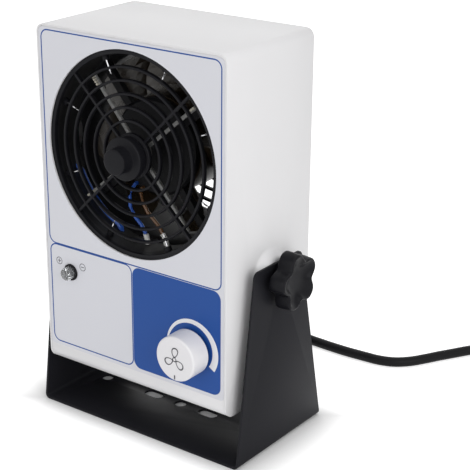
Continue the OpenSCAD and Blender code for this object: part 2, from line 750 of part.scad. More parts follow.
module lamp_nut() {
    z = bottom_z + lamp_lift;
    color("silver") difference() {
        rod_y(-lamp_x, z, panel_back, panel_back + 2.4, 6.4, 6);
        rod_y(-lamp_x, z, panel_back - 1, panel_back + 4, 4.02);
    }
}

module fuse_holder() {
    color([0.1, 0.1, 0.11]) {
        rod_y(fuse_x, fuse_z, rear_inner - 26, rear_y, 6);
        turned_y(fuse_x, rear_y, fuse_z) mirror([0, 1]) polygon([[0, 0], [8.5, 0], [8.5, 2], [6.6, 2.6], [6.3, 8], [0, 8.3]]);
    }
}

module earth_stud() {
    color([0.75, 0.65, 0.3]) {
        rod_y(earth_x, earth_z, rear_inner - 8, rear_y + 9, 2);
        difference() {
            rod_y(earth_x, earth_z, rear_y, rear_y + 3.2, 4, 6);
            rod_y(earth_x, earth_z, rear_y - 1, rear_y + 9, 1.9);
        }
    }
}

// Tapered strain relief, with a collar outside the rear panel.
module cord_gland() {
    color([0.1, 0.1, 0.11]) difference() {
        union() {
            rod_y(gland_x, gland_z, rear_inner - 9, rear_y, 6);
            turned_y(gland_x, rear_y, gland_z) mirror([0, 1])
                polygon([[0, 0], [8, 0], [8, 2.4], [6.4, 3.4], [4.4, gland_l], [0, gland_l]]);
        }
        rod_y(gland_x, gland_z, rear_inner - 10, rear_inner - 2, cord_r);
    }
}

module gland_nut() {
    color([0.1, 0.1, 0.11]) difference() {
        rod_y(gland_x, gland_z, rear_inner - 4, rear_inner, 8.5, 6);
        rod_y(gland_x, gland_z, rear_inner - 5, rear_inner + 1, 6.02);
    }
}

// ---------------------------------------------------------------- tilt joint

module tilt_nuts() {
    color("silver") for (s = [-1, 1]) {
        x0 = half_w + boss_h - cover_t - 6;
        x1 = half_w + boss_h - cover_t;
        difference() {
            rod_x(tilt_y, pivot_z, min(s * x0, s * x1), max(s * x0, s * x1), 6.5, 6);
            rod_x(tilt_y, pivot_z, -stand_w, stand_w, tilt_stud_r + 0.05);
        }
    }
}

module tilt_washers() {
    color([0.5, 0.5, 0.5]) for (s = [-1, 1]) difference() {
        rod_x(tilt_y, pivot_z, min(s * (half_w + boss_h), s * (arm_inner - 0.05)),
            max(s * (half_w + boss_h), s * (arm_inner - 0.05)), 9);
        rod_x(tilt_y, pivot_z, -stand_w, stand_w, tilt_bore_r);
    }
}

function star_angle(k) = 29 + 360 / star_lobes * k;

// Outline of the knob's grip: round lobes joined by shallow flutes.
module star_outline() {
    lobe_r = 5.2;
    lobe_c = star_r - lobe_r;
    flute_c = star_r + 3.4;
    half_step = 180 / star_lobes;
    flute_r = norm([flute_c * cos(half_step) - lobe_c, flute_c * sin(half_step)]) - lobe_r + 0.1;
    difference() {
        union() {
            circle(r = star_r - 3);
            for (k = [0:star_lobes - 1]) rotate(star_angle(k)) translate([lobe_c, 0]) circle(r = lobe_r, $fn = 32);
        }
        for (k = [0:star_lobes - 1]) rotate(star_angle(k + 0.5)) translate([flute_c, 0]) circle(r = flute_r);
    }
}

// Hand knob with its axis along +Z and its collar at z = 0; the grip tapers a little towards a
// rounded front edge, and its face is dished round the screw's cap.
module star_knob() {
    base = 3.8;
    top = base + star_h;
    rotate_extrude() polygon([[0, 0], [8.2, 0], [9.2, base + 0.5], [0, base + 0.5]]);
    intersection() {
        translate([0, 0, base]) linear_extrude(star_h) star_outline();
        rotate_extrude() polygon(concat([[0, base - 1], [star_r - 1.2, base - 1], [star_r + 0.2, base + 1.4],
            [star_r - 1, top - 2.6]], arc([star_r - 3.4, top - 2.4], 2.4, 0, 90, 4),
            [[11.6, top], [6.4, top - 3.6], [6.4, top - 3], [0, top - 3]]));
    }
}

module tilt_knob(s) {
    color([0.1, 0.1, 0.11]) translate([s * collar_x, tilt_y, pivot_z]) rotate([0, s * 90, 0]) difference() {
        rotate(s > 0 ? 90 : -90) mirror([s > 0 ? 0 : 1, 0, 0]) star_knob();
        translate([0, 0, -1]) cylinder(h = 8, r = tilt_stud_r + 0.05);
    }
}

module tilt_stud(s) {
    inner = half_w + boss_h - cover_t - 10;
    color("silver") rod_x(tilt_y, pivot_z, min(s * inner, s * (collar_x + 7)), max(s * inner, s * (collar_x + 7)), tilt_stud_r);
}

// ---------------------------------------------------------------- power cord

module cord_lead() {
    color([0.1, 0.1, 0.11]) tube(LEAD, cord_r, 10);
}

module cord_tail() {
    color([0.1, 0.1, 0.11]) tube(TAIL, cord_r, 10);
}

module cord_coil() {
    color([0.1, 0.1, 0.11]) translate([coil_c[0], coil_c[1], 0]) rotate_extrude()
        polygon(rounded_rect(coil_inner, 0, coil_outer, coil_h, [3, 3, 3, 3]));
}

// Moulded three-pin mains plug, lying on its side.
module plug_body() {
    color([0.1, 0.1, 0.11]) {
        rod_x(plug_y, plug_z, plug_x, plug_x + 26, 4.6);
        translate([plug_x, plug_y, plug_z]) rotate([0, 90, 0]) cylinder(h = 16, r1 = cord_r, r2 = 6);
        difference() {
            block([plug_x + 16, plug_y - 12.5, 0], [plug_x + 42, plug_y + 12.5, 20]);
            for (s = [-1, 1]) translate([plug_x + 17, plug_y + s * 21, -1]) cylinder(h = 22, r = 14);
        }
    }
}

module plug_pins() {
    x0 = plug_x + 42;
    blade_z = plug_z + 4.9;
    color("silver") {
        for (s = [-1, 1])
            block([x0, plug_y + s * 6.35 - 0.75, blade_z - 3.15], [x0 + 17, plug_y + s * 6.35 + 0.75, blade_z + 3.15]);
        rod_x(plug_y, blade_z - 11.9, x0, x0 + 20, 2.4);
    }
}

// ---------------------------------------------------------------- the part

stand_bracket();
chassis();
cover();
cover_screws();
front_overlay();
outlet_grille();
duct_ring();
emitter_sockets();
emitter_needles();
hv_lead();
lead_sleeves();
cleaner_knob();
cleaner_spider();
cleaner_bristles();
fan_frame();
fan_motor();
fan_bearings();
fan_rotor();
fan_shaft();
fan_studs();
fan_spacers();
fan_nuts();
fan_lead_blue();
fan_lead_brown();
rear_guard();
guard_screws();
guard_nuts();
hv_module();
circuit_board();
board_posts();
board_parts();
speed_control();
control_nut();
speed_knob();
lamp_bezel();
lamp_lens();
lamp_nut();
fuse_holder();
earth_stud();
cord_gland();
gland_nut();
tilt_nuts();
tilt_washers();
tilt_knob(1);  // right_tilt_knob
tilt_stud(1);  // right_tilt_stud
tilt_knob(-1);  // left_tilt_knob
tilt_stud(-1);  // left_tilt_stud
cord_lead();
cord_coil();
cord_tail();
plug_body();
plug_pins();
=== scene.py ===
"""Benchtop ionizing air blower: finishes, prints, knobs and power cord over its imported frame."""
import json
import logging
import math
from dataclasses import dataclass
from enum import Enum
from typing import Callable, Sequence

import bmesh
import bpy
import numpy as np
from mathutils import Matrix, Vector

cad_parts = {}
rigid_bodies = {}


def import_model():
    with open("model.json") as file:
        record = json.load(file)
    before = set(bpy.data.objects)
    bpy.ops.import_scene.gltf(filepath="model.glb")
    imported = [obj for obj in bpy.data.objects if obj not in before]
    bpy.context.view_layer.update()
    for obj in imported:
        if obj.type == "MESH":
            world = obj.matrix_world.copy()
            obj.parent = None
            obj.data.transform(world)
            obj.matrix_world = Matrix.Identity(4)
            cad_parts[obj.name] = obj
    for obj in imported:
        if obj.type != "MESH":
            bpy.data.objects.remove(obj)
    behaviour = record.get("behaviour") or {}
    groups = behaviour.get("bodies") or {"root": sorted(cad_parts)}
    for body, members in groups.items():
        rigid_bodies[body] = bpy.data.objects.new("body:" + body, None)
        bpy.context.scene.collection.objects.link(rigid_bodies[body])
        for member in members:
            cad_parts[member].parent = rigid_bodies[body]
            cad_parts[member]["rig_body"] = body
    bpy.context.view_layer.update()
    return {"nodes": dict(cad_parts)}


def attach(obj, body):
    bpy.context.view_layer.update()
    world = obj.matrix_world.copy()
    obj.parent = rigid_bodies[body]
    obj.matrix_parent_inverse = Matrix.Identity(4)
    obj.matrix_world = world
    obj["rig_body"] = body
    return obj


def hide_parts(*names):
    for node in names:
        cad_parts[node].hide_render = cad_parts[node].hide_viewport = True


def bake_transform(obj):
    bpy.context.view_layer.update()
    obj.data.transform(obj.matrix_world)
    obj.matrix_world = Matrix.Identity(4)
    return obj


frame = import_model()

LOG = logging.getLogger("blower")
MM = 0.001
NODES = frame["nodes"]


class Body(str, Enum):
    """Rigid bodies that pieces ride on."""

    STAND = "stand"
    HOUSING = "housing"
    IMPELLER = "impeller"
    CLEANER = "cleaner"
    DIAL = "speed_dial"
    RIGHT = "right_clamp"
    LEFT = "left_clamp"


# ---------------------------------------------------------------- surfaces


def make_object(
    name: str, points: np.ndarray, faces: Sequence[Sequence[int]], crease: float = 35
) -> bpy.types.Object:
    """Make a smooth-shaded mesh object from points in millimetres.

    Args:
        name: the piece's name.
        points: an (n, 3) array in millimetres.
        faces: indices of each face's corners, outwards by the right-hand rule.
        crease: edges sharper than this many degrees stay sharp.
    Returns:
        The new object, at the origin.
    """
    mesh = bpy.data.meshes.new(name)
    mesh.from_pydata((np.asarray(points).reshape(-1, 3) * MM).tolist(), [], [list(f) for f in faces])
    mesh.update()
    obj = bpy.data.objects.new(name, mesh)
    bpy.context.scene.collection.objects.link(obj)
    finish_normals(obj, crease)
    return obj


def finish_normals(obj: bpy.types.Object, crease: float) -> None:
    """Merge doubles, turn all faces outwards and shade smooth.

    Args:
        obj: the mesh object to finish.
        crease: edges sharper than this many degrees stay sharp.
    """
    bm = bmesh.new()
    bm.from_mesh(obj.data)
    bmesh.ops.remove_doubles(bm, verts=bm.verts, dist=1e-7)
    bmesh.ops.recalc_face_normals(bm, faces=bm.faces)
    bm.to_mesh(obj.data)
    bm.free()
    obj.data.shade_smooth()
    obj.data.set_sharp_from_angle(angle=math.radians(crease))


def grid_faces(rows: int, cols: int, wrap_rows: bool, wrap_cols: bool) -> np.ndarray:
    """Return the quads of a grid of points.

    Args:
        rows: number of rows.
        cols: points in each row.
        wrap_rows: whether the last row joins the first.
        wrap_cols: whether each row's last point joins its first.
    Returns:
        An (n, 4) array of point indices.
    """
    i = np.arange(rows if wrap_rows else rows - 1)[:, None]
    j = np.arange(cols if wrap_cols else cols - 1)[None, :]
    i2, j2 = (i + 1) % rows, (j + 1) % cols
    quads = np.stack([i * cols + j, i * cols + j2, i2 * cols + j2, i2 * cols + j], -1)
    return quads.reshape(-1, 4)


def tube_mesh(name: str, path: np.ndarray, radius: float, sides: int = 16) -> bpy.types.Object:
    """Sweep a circle along a path: point = p + r(cos a * u + sin a * v), u and v normal to the path.

    Args:
        name: the piece's name.
        path: an (n, 3) array of points in millimetres.
        radius: the tube's radius in millimetres.
        sides: points round the circle.
    Returns:
        The tube, capped at both ends.
    """
    tangent = np.gradient(path, axis=0)
    tangent /= np.linalg.norm(tangent, axis=1)[:, None]
    u = np.cross(tangent, [0.0, 0.0, 1.0])
    u /= np.linalg.norm(u, axis=1)[:, None]
    v = np.cross(tangent, u)
    a = np.linspace(0, 2 * np.pi, sides, endpoint=False)
    ring = np.cos(a)[None, :, None] * u[:, None] + np.sin(a)[None, :, None] * v[:, None]
    points = (path[:, None] + radius * ring).reshape(-1, 3)
    faces = grid_faces(len(path), sides, False, True).tolist()
    last = (len(path) - 1) * sides
    faces += [list(range(sides)), list(range(last + sides - 1, last - 1, -1))]
    return make_object(name, points, faces, 50)


def revolve(
    name: str,
    profile: Sequence[tuple[float, float]],
    centre: Sequence[float],
    axis: Sequence[float],
    turns: int = 96,
    radius_scale: Callable[[np.ndarray, np.ndarray], np.ndarray] | None = None,
    crease: float = 35,
) -> bpy.types.Object:
    """Revolve a profile of (radius, height) pairs: p = c + r cos a * u + r sin a * v + h * axis.

    Args:
        name: the piece's name.
        profile: radius and height of each ring, in millimetres, from pole to pole.
        centre: the point at height 0.
        axis: unit vector along which the height grows.
        turns: points round the axis.
        radius_scale: factor on the radius as a function of the angle and of the profile's place.
        crease: edges sharper than this many degrees stay sharp.
    Returns:
        The closed solid.
    """
    w = np.array(axis, float)
    u = np.cross([0.0, 0.0, 1.0], w) if abs(w[2]) < 0.9 else np.array([1.0, 0.0, 0.0])
    u /= np.linalg.norm(u)
    v = np.cross(w, u)
    rh = np.array(profile, float)
    a = np.linspace(0, 2 * np.pi, turns, endpoint=False)
    r = np.repeat(rh[:, :1], turns, axis=1)
    if radius_scale is not None:
        r = r * radius_scale(a[None, :], np.linspace(0, 1, len(rh))[:, None])
    points = (
        np.array(centre, float)
        + r[..., None] * (np.cos(a)[None, :, None] * u + np.sin(a)[None, :, None] * v)
        + rh[:, 1][:, None, None] * w
    )
    return make_object(name, points.reshape(-1, 3), grid_faces(len(rh), turns, False, True).tolist(), crease)


def arc(c: tuple[float, float], r: float, a0: float, a1: float, n: int = 8) -> list[tuple[float, float]]:
    """Return points of an arc: c + r(cos a, sin a) at even steps of a.

    Args:
        c: the arc's centre.
        r: its radius.
        a0: first angle in degrees.
        a1: last angle in degrees.
        n: number of steps.
    Returns:
        A list of n + 1 points.
    """
    a = np.radians(np.linspace(a0, a1, n + 1))
    return [(float(c[0] + r * np.cos(t)), float(c[1] + r * np.sin(t))) for t in a]


def smooth_path(points: Sequence[Sequence[float]], step: float) -> np.ndarray:
    """Run a Catmull-Rom curve through points and resample it at even distances.

    Args:
        points: the points to pass through, in millimetres.
        step: the distance between resampled points, in millimetres.
    Returns:
        An (n, 3) array of points.
    """
    p = np.array(points, float)
    q = np.vstack([2 * p[0] - p[1], p, 2 * p[-1] - p[-2]])
    t = np.linspace(0, 1, 24, endpoint=False)[None, :, None]
    a, b, c, d = q[:-3, None], q[1:-2, None], q[2:-1, None], q[3:, None]
    curve = 0.5 * (2 * b + (c - a) * t + (2 * a - 5 * b + 4 * c - d) * t**2 + (3 * b - a - 3 * c + d) * t**3)
    curve = np.vstack([curve.reshape(-1, 3), p[-1:]])
    s = np.r_[0, np.cumsum(np.linalg.norm(np.diff(curve, axis=0), axis=1))]
    even = np.linspace(0, s[-1], max(int(s[-1] / step), 2) + 1)
    return np.stack([np.interp(even, s, curve[:, k]) for k in range(3)], 1)


def soften(node: str, width: float = 0.2, segments: int = 2) -> bpy.types.Object:
    """Stand a copy of a CAD node in for it, with its edges rounded by a small bevel.

    Args:
        node: the CAD node's name.
        width: the bevel's width in millimetres.
        segments: steps across the bevel.
    Returns:
        The copy, riding on the node's body.
    """
    source = NODES[node]
    obj = bpy.data.objects.new(node + "_shell", source.data.copy())
    bpy.context.scene.collection.objects.link(obj)
    bm = bmesh.new()
    bm.from_mesh(obj.data)
    bmesh.ops.remove_doubles(bm, verts=bm.verts, dist=2e-6)
    bmesh.ops.dissolve_limit(bm, angle_limit=math.radians(0.6), verts=bm.verts, edges=bm.edges)
    bm.to_mesh(obj.data)
    bm.free()
    obj.data.shade_smooth()
    bevel = obj.modifiers.new("rounded_edges", "BEVEL")
    bevel.width = width * MM
    bevel.segments = segments
    bevel.limit_method = "ANGLE"
    bevel.angle_limit = math.radians(40)
    bevel.harden_normals = True
    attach(obj, source["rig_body"])
    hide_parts(node)
    return obj


# ---------------------------------------------------------------- finishes


def grain_group() -> bpy.types.NodeTree:
    """Build the group that gives a surface its fine grain and slow mottling.

    Returns:
        A group that takes a vector, a grain size and a tint, and gives a colour, a roughness and a height.
    """
    if "surface_grain" in bpy.data.node_groups:
        return bpy.data.node_groups["surface_grain"]
    group = bpy.data.node_groups.new("surface_grain", "ShaderNodeTree")
    for name, kind in (("Vector", "Vector"), ("Grain", "Float"), ("Tint", "Color"), ("Mottle", "Float"),
                       ("Roughness", "Float"), ("Spread", "Float")):
        group.interface.new_socket(name=name, in_out="INPUT", socket_type="NodeSocket" + kind)
    for name, kind in (("Color", "Color"), ("Roughness", "Float"), ("Height", "Float")):
        group.interface.new_socket(name=name, in_out="OUTPUT", socket_type="NodeSocket" + kind)
    n, link = group.nodes, group.links.new
    entry, leave = n.new("NodeGroupInput"), n.new("NodeGroupOutput")
    fine, slow = n.new("ShaderNodeTexNoise"), n.new("ShaderNodeTexNoise")
    fine.inputs["Detail"].default_value = 3
    slow.inputs["Scale"].default_value = 35
    slow.inputs["Detail"].default_value = 4
    link(entry.outputs["Vector"], fine.inputs["Vector"])
    link(entry.outputs["Vector"], slow.inputs["Vector"])
    link(entry.outputs["Grain"], fine.inputs["Scale"])
    centred = n.new("ShaderNodeMath")
    centred.operation = "SUBTRACT"
    centred.inputs[1].default_value = 0.5
    link(slow.outputs["Fac"], centred.inputs[0])
    shade = n.new("ShaderNodeMath")
    shade.operation = "MULTIPLY_ADD"
    shade.inputs[2].default_value = 1
    link(centred.outputs[0], shade.inputs[0])
    link(entry.outputs["Mottle"], shade.inputs[1])
    colour = n.new("ShaderNodeVectorMath")
    colour.operation = "SCALE"
    link(entry.outputs["Tint"], colour.inputs[0])
    link(shade.outputs[0], colour.inputs["Scale"])
    rough = n.new("ShaderNodeMath")
    rough.operation = "MULTIPLY_ADD"
    link(centred.outputs[0], rough.inputs[0])
    link(entry.outputs["Spread"], rough.inputs[1])
    link(entry.outputs["Roughness"], rough.inputs[2])
    link(colour.outputs[0], leave.inputs["Color"])
    link(rough.outputs[0], leave.inputs["Roughness"])
    link(fine.outputs["Fac"], leave.inputs["Height"])
    return group


@dataclass(frozen=True)
class Finish:
    """One surface finish: colour, gloss and grain."""

    name: str
    color: tuple[float, float, float]
    roughness: float = 0.45
    metallic: float = 0.0
    grain: float = 1600
    bump: float = 0.08
    mottle: float = 0.06
    spread: float = 0.12
    coat: float = 0.0
    transmission: float = 0.0
    specular: float = 0.5
    brushed: bool = False

    def material(self) -> bpy.types.Material:
        """Build the material once and return it."""
        if self.name in bpy.data.materials:
            return bpy.data.materials[self.name]
        mat = bpy.data.materials.new(self.name)
        mat.use_nodes = True
        n, link = mat.node_tree.nodes, mat.node_tree.links.new
        shader = n["Principled BSDF"]
        coord, place = n.new("ShaderNodeTexCoord"), n.new("ShaderNodeMapping")
        if self.brushed:
            place.inputs["Scale"].default_value = (1, 0.08, 1)
        grain = n.new("ShaderNodeGroup")
        grain.node_tree = grain_group()
        grain.inputs["Grain"].default_value = self.grain
        grain.inputs["Tint"].default_value = (*self.color, 1)
        grain.inputs["Mottle"].default_value = self.mottle
        grain.inputs["Roughness"].default_value = self.roughness
        grain.inputs["Spread"].default_value = self.spread
        bump = n.new("ShaderNodeBump")
        bump.inputs["Strength"].default_value = self.bump
        bump.inputs["Distance"].default_value = 0.0002
        link(coord.outputs["Object"], place.inputs["Vector"])
        link(place.outputs[0], grain.inputs["Vector"])
        link(grain.outputs["Color"], shader.inputs["Base Color"])
        link(grain.outputs["Roughness"], shader.inputs["Roughness"])
        link(grain.outputs["Height"], bump.inputs["Height"])
        link(bump.outputs[0], shader.inputs["Normal"])
        shader.inputs["Metallic"].default_value = self.metallic
        shader.inputs["Coat Weight"].default_value = self.coat
        shader.inputs["Specular IOR Level"].default_value = self.specular
        shader.inputs["Transmission Weight"].default_value = self.transmission
        return mat

    def dress(self, *objects: bpy.types.Object) -> None:
        """Give the finish to each object as its only material."""
        for obj in objects:
            obj.data.materials.clear()
            obj.data.materials.append(self.material())
            if obj.data.polygons:
                obj.data.polygons.foreach_set("material_index", np.zeros(len(obj.data.polygons), np.int32))


WHITE_PAINT = Finish("powder_coat_white", (0.76, 0.755, 0.765), 0.42, grain=1300, bump=0.1, mottle=0.02)
FILM = Finish("matt_panel_film", (0.66, 0.665, 0.71), 0.36, grain=2600, bump=0.05, mottle=0.02)
BLACK_PAINT = Finish("powder_coat_black", (0.012, 0.012, 0.015), 0.46, grain=1500,
                     bump=0.22, mottle=0.15, specular=0.1)
GRILLE_BLACK = Finish("moulded_black", (0.0075, 0.0075, 0.0095), 0.4, grain=2200,
                      bump=0.12, mottle=0.2, specular=0.1)
STAR_BLACK = Finish("moulded_black_knob", (0.007, 0.007, 0.009), 0.34, grain=2400,
                    bump=0.25, mottle=0.2, specular=0.1)
DARK_INSULATOR = Finish("duct_insulator", (0.006, 0.006, 0.007), 0.5, grain=1800, bump=0.1)
ALLOY_BLACK = Finish("painted_casting", (0.007, 0.007, 0.008), 0.45, grain=900, bump=0.3, specular=0.1)
ROTOR_BLACK = Finish("impeller_plastic", (0.016, 0.011, 0.006), 0.28, grain=1700, bump=0.08, mottle=0.2)
KNOB_WHITE = Finish("moulded_white_knob", (0.78, 0.77, 0.79), 0.35, grain=2600, bump=0.06, mottle=0.02)
PRINT_BLUE = Finish("print_blue", (0.014, 0.072, 0.30), 0.38, grain=2600,
                    bump=0.05, mottle=0.04, specular=0.2)
PRINT_WHITE = Finish("print_white", (0.8, 0.8, 0.82), 0.4, grain=2600, bump=0.04, mottle=0.02)
PRINT_DARK = Finish("print_dark", (0.04, 0.04, 0.05), 0.45, grain=2600, bump=0.04)
STEEL = Finish("zinc_plated_steel", (0.56, 0.56, 0.57), 0.32, 1.0, 900, 0.08, 0.1, 0.2, brushed=True)
NEEDLE = Finish("needle_steel", (0.45, 0.45, 0.46), 0.3, 1.0, 1500, 0.04)
BRASS = Finish("plain_brass", (0.72, 0.53, 0.25), 0.3, 1.0, 1100, 0.08, brushed=True)
BLUE_WIRE = Finish("blue_sheath", (0.02, 0.09, 0.42), 0.35, grain=1500, bump=0.05)
BROWN_WIRE = Finish("brown_sheath", (0.14, 0.065, 0.025), 0.35, grain=1500, bump=0.05)
SLEEVE = Finish("white_sleeve", (0.75, 0.75, 0.72), 0.55, grain=1800, bump=0.1)
NYLON = Finish("natural_nylon", (0.23, 0.23, 0.225), 0.4, grain=1800, bump=0.06)
BRISTLE = Finish("nylon_bristle", (0.6, 0.57, 0.48), 0.6, grain=3000, bump=0.3)
RESIN = Finish("potting_resin", (0.02, 0.02, 0.022), 0.3, grain=800, bump=0.1)
BOARD = Finish("solder_resist", (0.01, 0.13, 0.05), 0.3, grain=1200, bump=0.1, coat=0.3)
PART_BLUE = Finish("component_blue", (0.05, 0.09, 0.22), 0.35, grain=1500, bump=0.05)
CORD_BLACK = Finish("cord_sheath", (0.009, 0.009, 0.010), 0.42, grain=1900,
                    bump=0.25, mottle=0.2, specular=0.1)
LENS = Finish("lamp_lens_clear", (0.88, 0.9, 0.92), 0.09, grain=1500,
              bump=0.03, mottle=0.02, spread=0.04,
              transmission=0.9)

NODE_FINISHES: dict[str, Finish] = {
    "stand_bracket": BLACK_PAINT, "chassis": WHITE_PAINT, "cover": WHITE_PAINT, "cover_screws": STEEL,
    "front_overlay": FILM, "outlet_grille": GRILLE_BLACK, "duct_ring": DARK_INSULATOR,
    "emitter_sockets": GRILLE_BLACK, "emitter_needles": NEEDLE, "hv_lead": BLUE_WIRE, "lead_sleeves": SLEEVE,
    "cleaner_knob": GRILLE_BLACK, "cleaner_spider": NYLON, "cleaner_bristles": BRISTLE, "fan_frame": ALLOY_BLACK,
    "fan_motor": ALLOY_BLACK, "fan_bearings": STEEL, "fan_rotor": ROTOR_BLACK, "fan_shaft": STEEL,
    "fan_studs": STEEL, "fan_spacers": STEEL, "fan_nuts": STEEL, "fan_lead_blue": BLUE_WIRE,
    "fan_lead_brown": BROWN_WIRE, "rear_guard": GRILLE_BLACK, "guard_screws": STEEL, "guard_nuts": STEEL,
    "hv_module": RESIN, "circuit_board": BOARD, "board_posts": BRASS, "board_parts": PART_BLUE,
    "speed_control": RESIN, "control_nut": STEEL, "speed_knob": KNOB_WHITE, "lamp_bezel": GRILLE_BLACK,
    "lamp_lens": LENS, "lamp_nut": STEEL, "fuse_holder": GRILLE_BLACK, "earth_stud": BRASS,
    "cord_gland": CORD_BLACK, "gland_nut": GRILLE_BLACK, "tilt_nuts": STEEL, "tilt_washers": NYLON,
    "right_tilt_knob": STAR_BLACK, "right_tilt_stud": STEEL, "left_tilt_knob": STAR_BLACK,
    "left_tilt_stud": STEEL, "cord_lead": CORD_BLACK, "cord_coil": CORD_BLACK, "cord_tail": CORD_BLACK,
    "plug_body": CORD_BLACK, "plug_pins": STEEL,
}
SOFT_EDGES: dict[str, float] = {
    "stand_bracket": 0.3, "cover": 0.25, "chassis": 0.2, "outlet_grille": 0.25, "rear_guard": 0.25,
    "fan_frame": 0.4, "cleaner_spider": 0.25, "plug_body": 0.9, "lamp_bezel": 0.15, "cord_gland": 0.3,
    "fuse_holder": 0.3, "control_nut": 0.15,
}


# ---------------------------------------------------------------- studio


@dataclass
class Studio:
    """Camera, lamps, floor and background."""

    azimuth: float = 38.03
    elevation: float = 21.60
    roll: float = 0.325
    distance: float = 0.7996
    target: tuple[float, float, float] = (0.0438, -0.0465, 0.13355)
    lens: float = 105.4
    shift: tuple[float, float] = (0.0985, 0.0376)

    def camera(self) -> None:
        """Place the camera on a sphere about its target, rolled about its own axis."""
        data = bpy.data.cameras.new("camera")
        cam = bpy.data.objects.new("camera", data)
        bpy.context.scene.collection.objects.link(cam)
        a, e = math.radians(self.azimuth), math.radians(self.elevation)
        back = Vector((math.sin(a) * math.cos(e), -math.cos(a) * math.cos(e), math.sin(e)))
        look = (-back).to_track_quat("-Z", "Y").to_matrix()
        turned = look @ Matrix.Rotation(math.radians(-self.roll), 3, "Z")
        cam.matrix_world = Matrix.Translation(Vector(self.target) + back * self.distance) @ turned.to_4x4()
        data.lens, data.sensor_width = self.lens, 36
        data.shift_x, data.shift_y = self.shift
        data.clip_start, data.clip_end = 0.01, 50
        bpy.context.scene.camera = cam

    def lamp(self, name: str, place: tuple[float, float, float], size: float, power: float) -> None:
        """Add a square area lamp that faces the blower's middle."""
        data = bpy.data.lights.new(name, "AREA")
        data.size, data.energy = size, power
        obj = bpy.data.objects.new(name, data)
        obj.location = place
        obj.rotation_mode = "QUATERNION"
        obj.rotation_quaternion = (Vector((0, 0, 0.12)) - Vector(place)).to_track_quat("-Z", "Y")
        bpy.context.scene.collection.objects.link(obj)

    def background(self) -> None:
        """Make the world and the floor white where they are seen or mirrored, and plain grey as light."""
        world = bpy.data.worlds.new("studio")
        bpy.context.scene.world = world
        world.use_nodes = True
        n, link = world.node_tree.nodes, world.node_tree.links.new
        seen = self.seen_white(n, link)
        shade = n["Background"]
        shade.inputs["Color"].default_value = (1, 1, 1, 1)
        level = n.new("ShaderNodeMapRange")
        level.inputs["To Min"].default_value = 0.5
        level.inputs["To Max"].default_value = 1.0
        link(seen, level.inputs["Value"])
        link(level.outputs[0], shade.inputs["Strength"])
        size = 6.0
        floor = make_object("floor", np.array([[-size, -size, 0], [size, -size, 0], [size, size, 0],
                                               [-size, size, 0]]) / MM - [0, 0, 0.05], [[0, 1, 2, 3]])
        mat = bpy.data.materials.new("pale_floor")
        mat.use_nodes = True
        shader = mat.node_tree.nodes["Principled BSDF"]
        shader.inputs["Base Color"].default_value = (0.93, 0.93, 0.93, 1)
        shader.inputs["Roughness"].default_value = 0.9
        shader.inputs["Specular IOR Level"].default_value = 0.1
        shader.inputs["Emission Color"].default_value = (1, 1, 1, 1)
        glow = mat.node_tree.nodes.new("ShaderNodeMath")
        glow.operation = "MULTIPLY"
        nodes, connect = mat.node_tree.nodes, mat.node_tree.links.new
        connect(self.beyond_base(nodes, connect), glow.inputs[1])
        connect(self.seen_white(nodes, connect), glow.inputs[0])
        connect(glow.outputs[0], shader.inputs["Emission Strength"])
        floor.data.materials.append(mat)

    def seen_white(self, nodes: bpy.types.Nodes, link: Callable) -> bpy.types.NodeSocket:
        """Return a socket that is 1 for camera, glossy and transmission rays, and 0 for the rest."""
        path = nodes.new("ShaderNodeLightPath")
        first, second = nodes.new("ShaderNodeMath"), nodes.new("ShaderNodeMath")
        for node in (first, second):
            node.operation = "MAXIMUM"
        link(path.outputs["Is Camera Ray"], first.inputs[0])
        link(path.outputs["Is Glossy Ray"], first.inputs[1])
        link(first.outputs[0], second.inputs[0])
        link(path.outputs["Is Transmission Ray"], second.inputs[1])
        return second.outputs[0]

    def beyond_base(self, nodes: bpy.types.Nodes, link: Callable) -> bpy.types.NodeSocket:
        """Return the floor's glow: none under the stand's base, rising to its full level just outside it."""
        coord, split, scale = (nodes.new("ShaderNode" + k) for k in ("TexCoord", "SeparateXYZ", "VectorMath"))
        scale.operation = "MULTIPLY"
        scale.inputs[1].default_value = (1 / 0.079, 1 / 0.0455, 1)
        link(coord.outputs["Object"], scale.inputs[0])
        link(scale.outputs[0], split.inputs[0])
        sides = []
        for axis in "XY":
            size = nodes.new("ShaderNodeMath")
            size.operation = "ABSOLUTE"
            link(split.outputs[axis], size.inputs[0])
            sides.append(size.outputs[0])
        larger = nodes.new("ShaderNodeMath")
        larger.operation = "MAXIMUM"
        link(sides[0], larger.inputs[0])
        link(sides[1], larger.inputs[1])
        ramp = nodes.new("ShaderNodeMapRange")
        for name, value in (("From Min", 1.0), ("From Max", 1.35), ("To Min", 0.0), ("To Max", 0.6)):
            ramp.inputs[name].default_value = value
        link(larger.outputs[0], ramp.inputs["Value"])
        return ramp.outputs[0]

    def build(self) -> None:
        """Build the whole studio."""
        self.camera()
        self.background()
        self.lamp("key_lamp", (1.5, -0.5, 0.75), 1.2, 10.5)
        self.lamp("front_lamp", (0.1, -1.8, 0.6), 1.3, 7.5)
        self.lamp("top_lamp", (-0.1, 0.2, 1.7), 1.2, 4.6)
        self.lamp("rear_lamp", (-0.9, 1.3, 0.8), 1.2, 2.0)
        bpy.context.scene.view_settings.view_transform = "Standard"


# ---------------------------------------------------------------- power cord


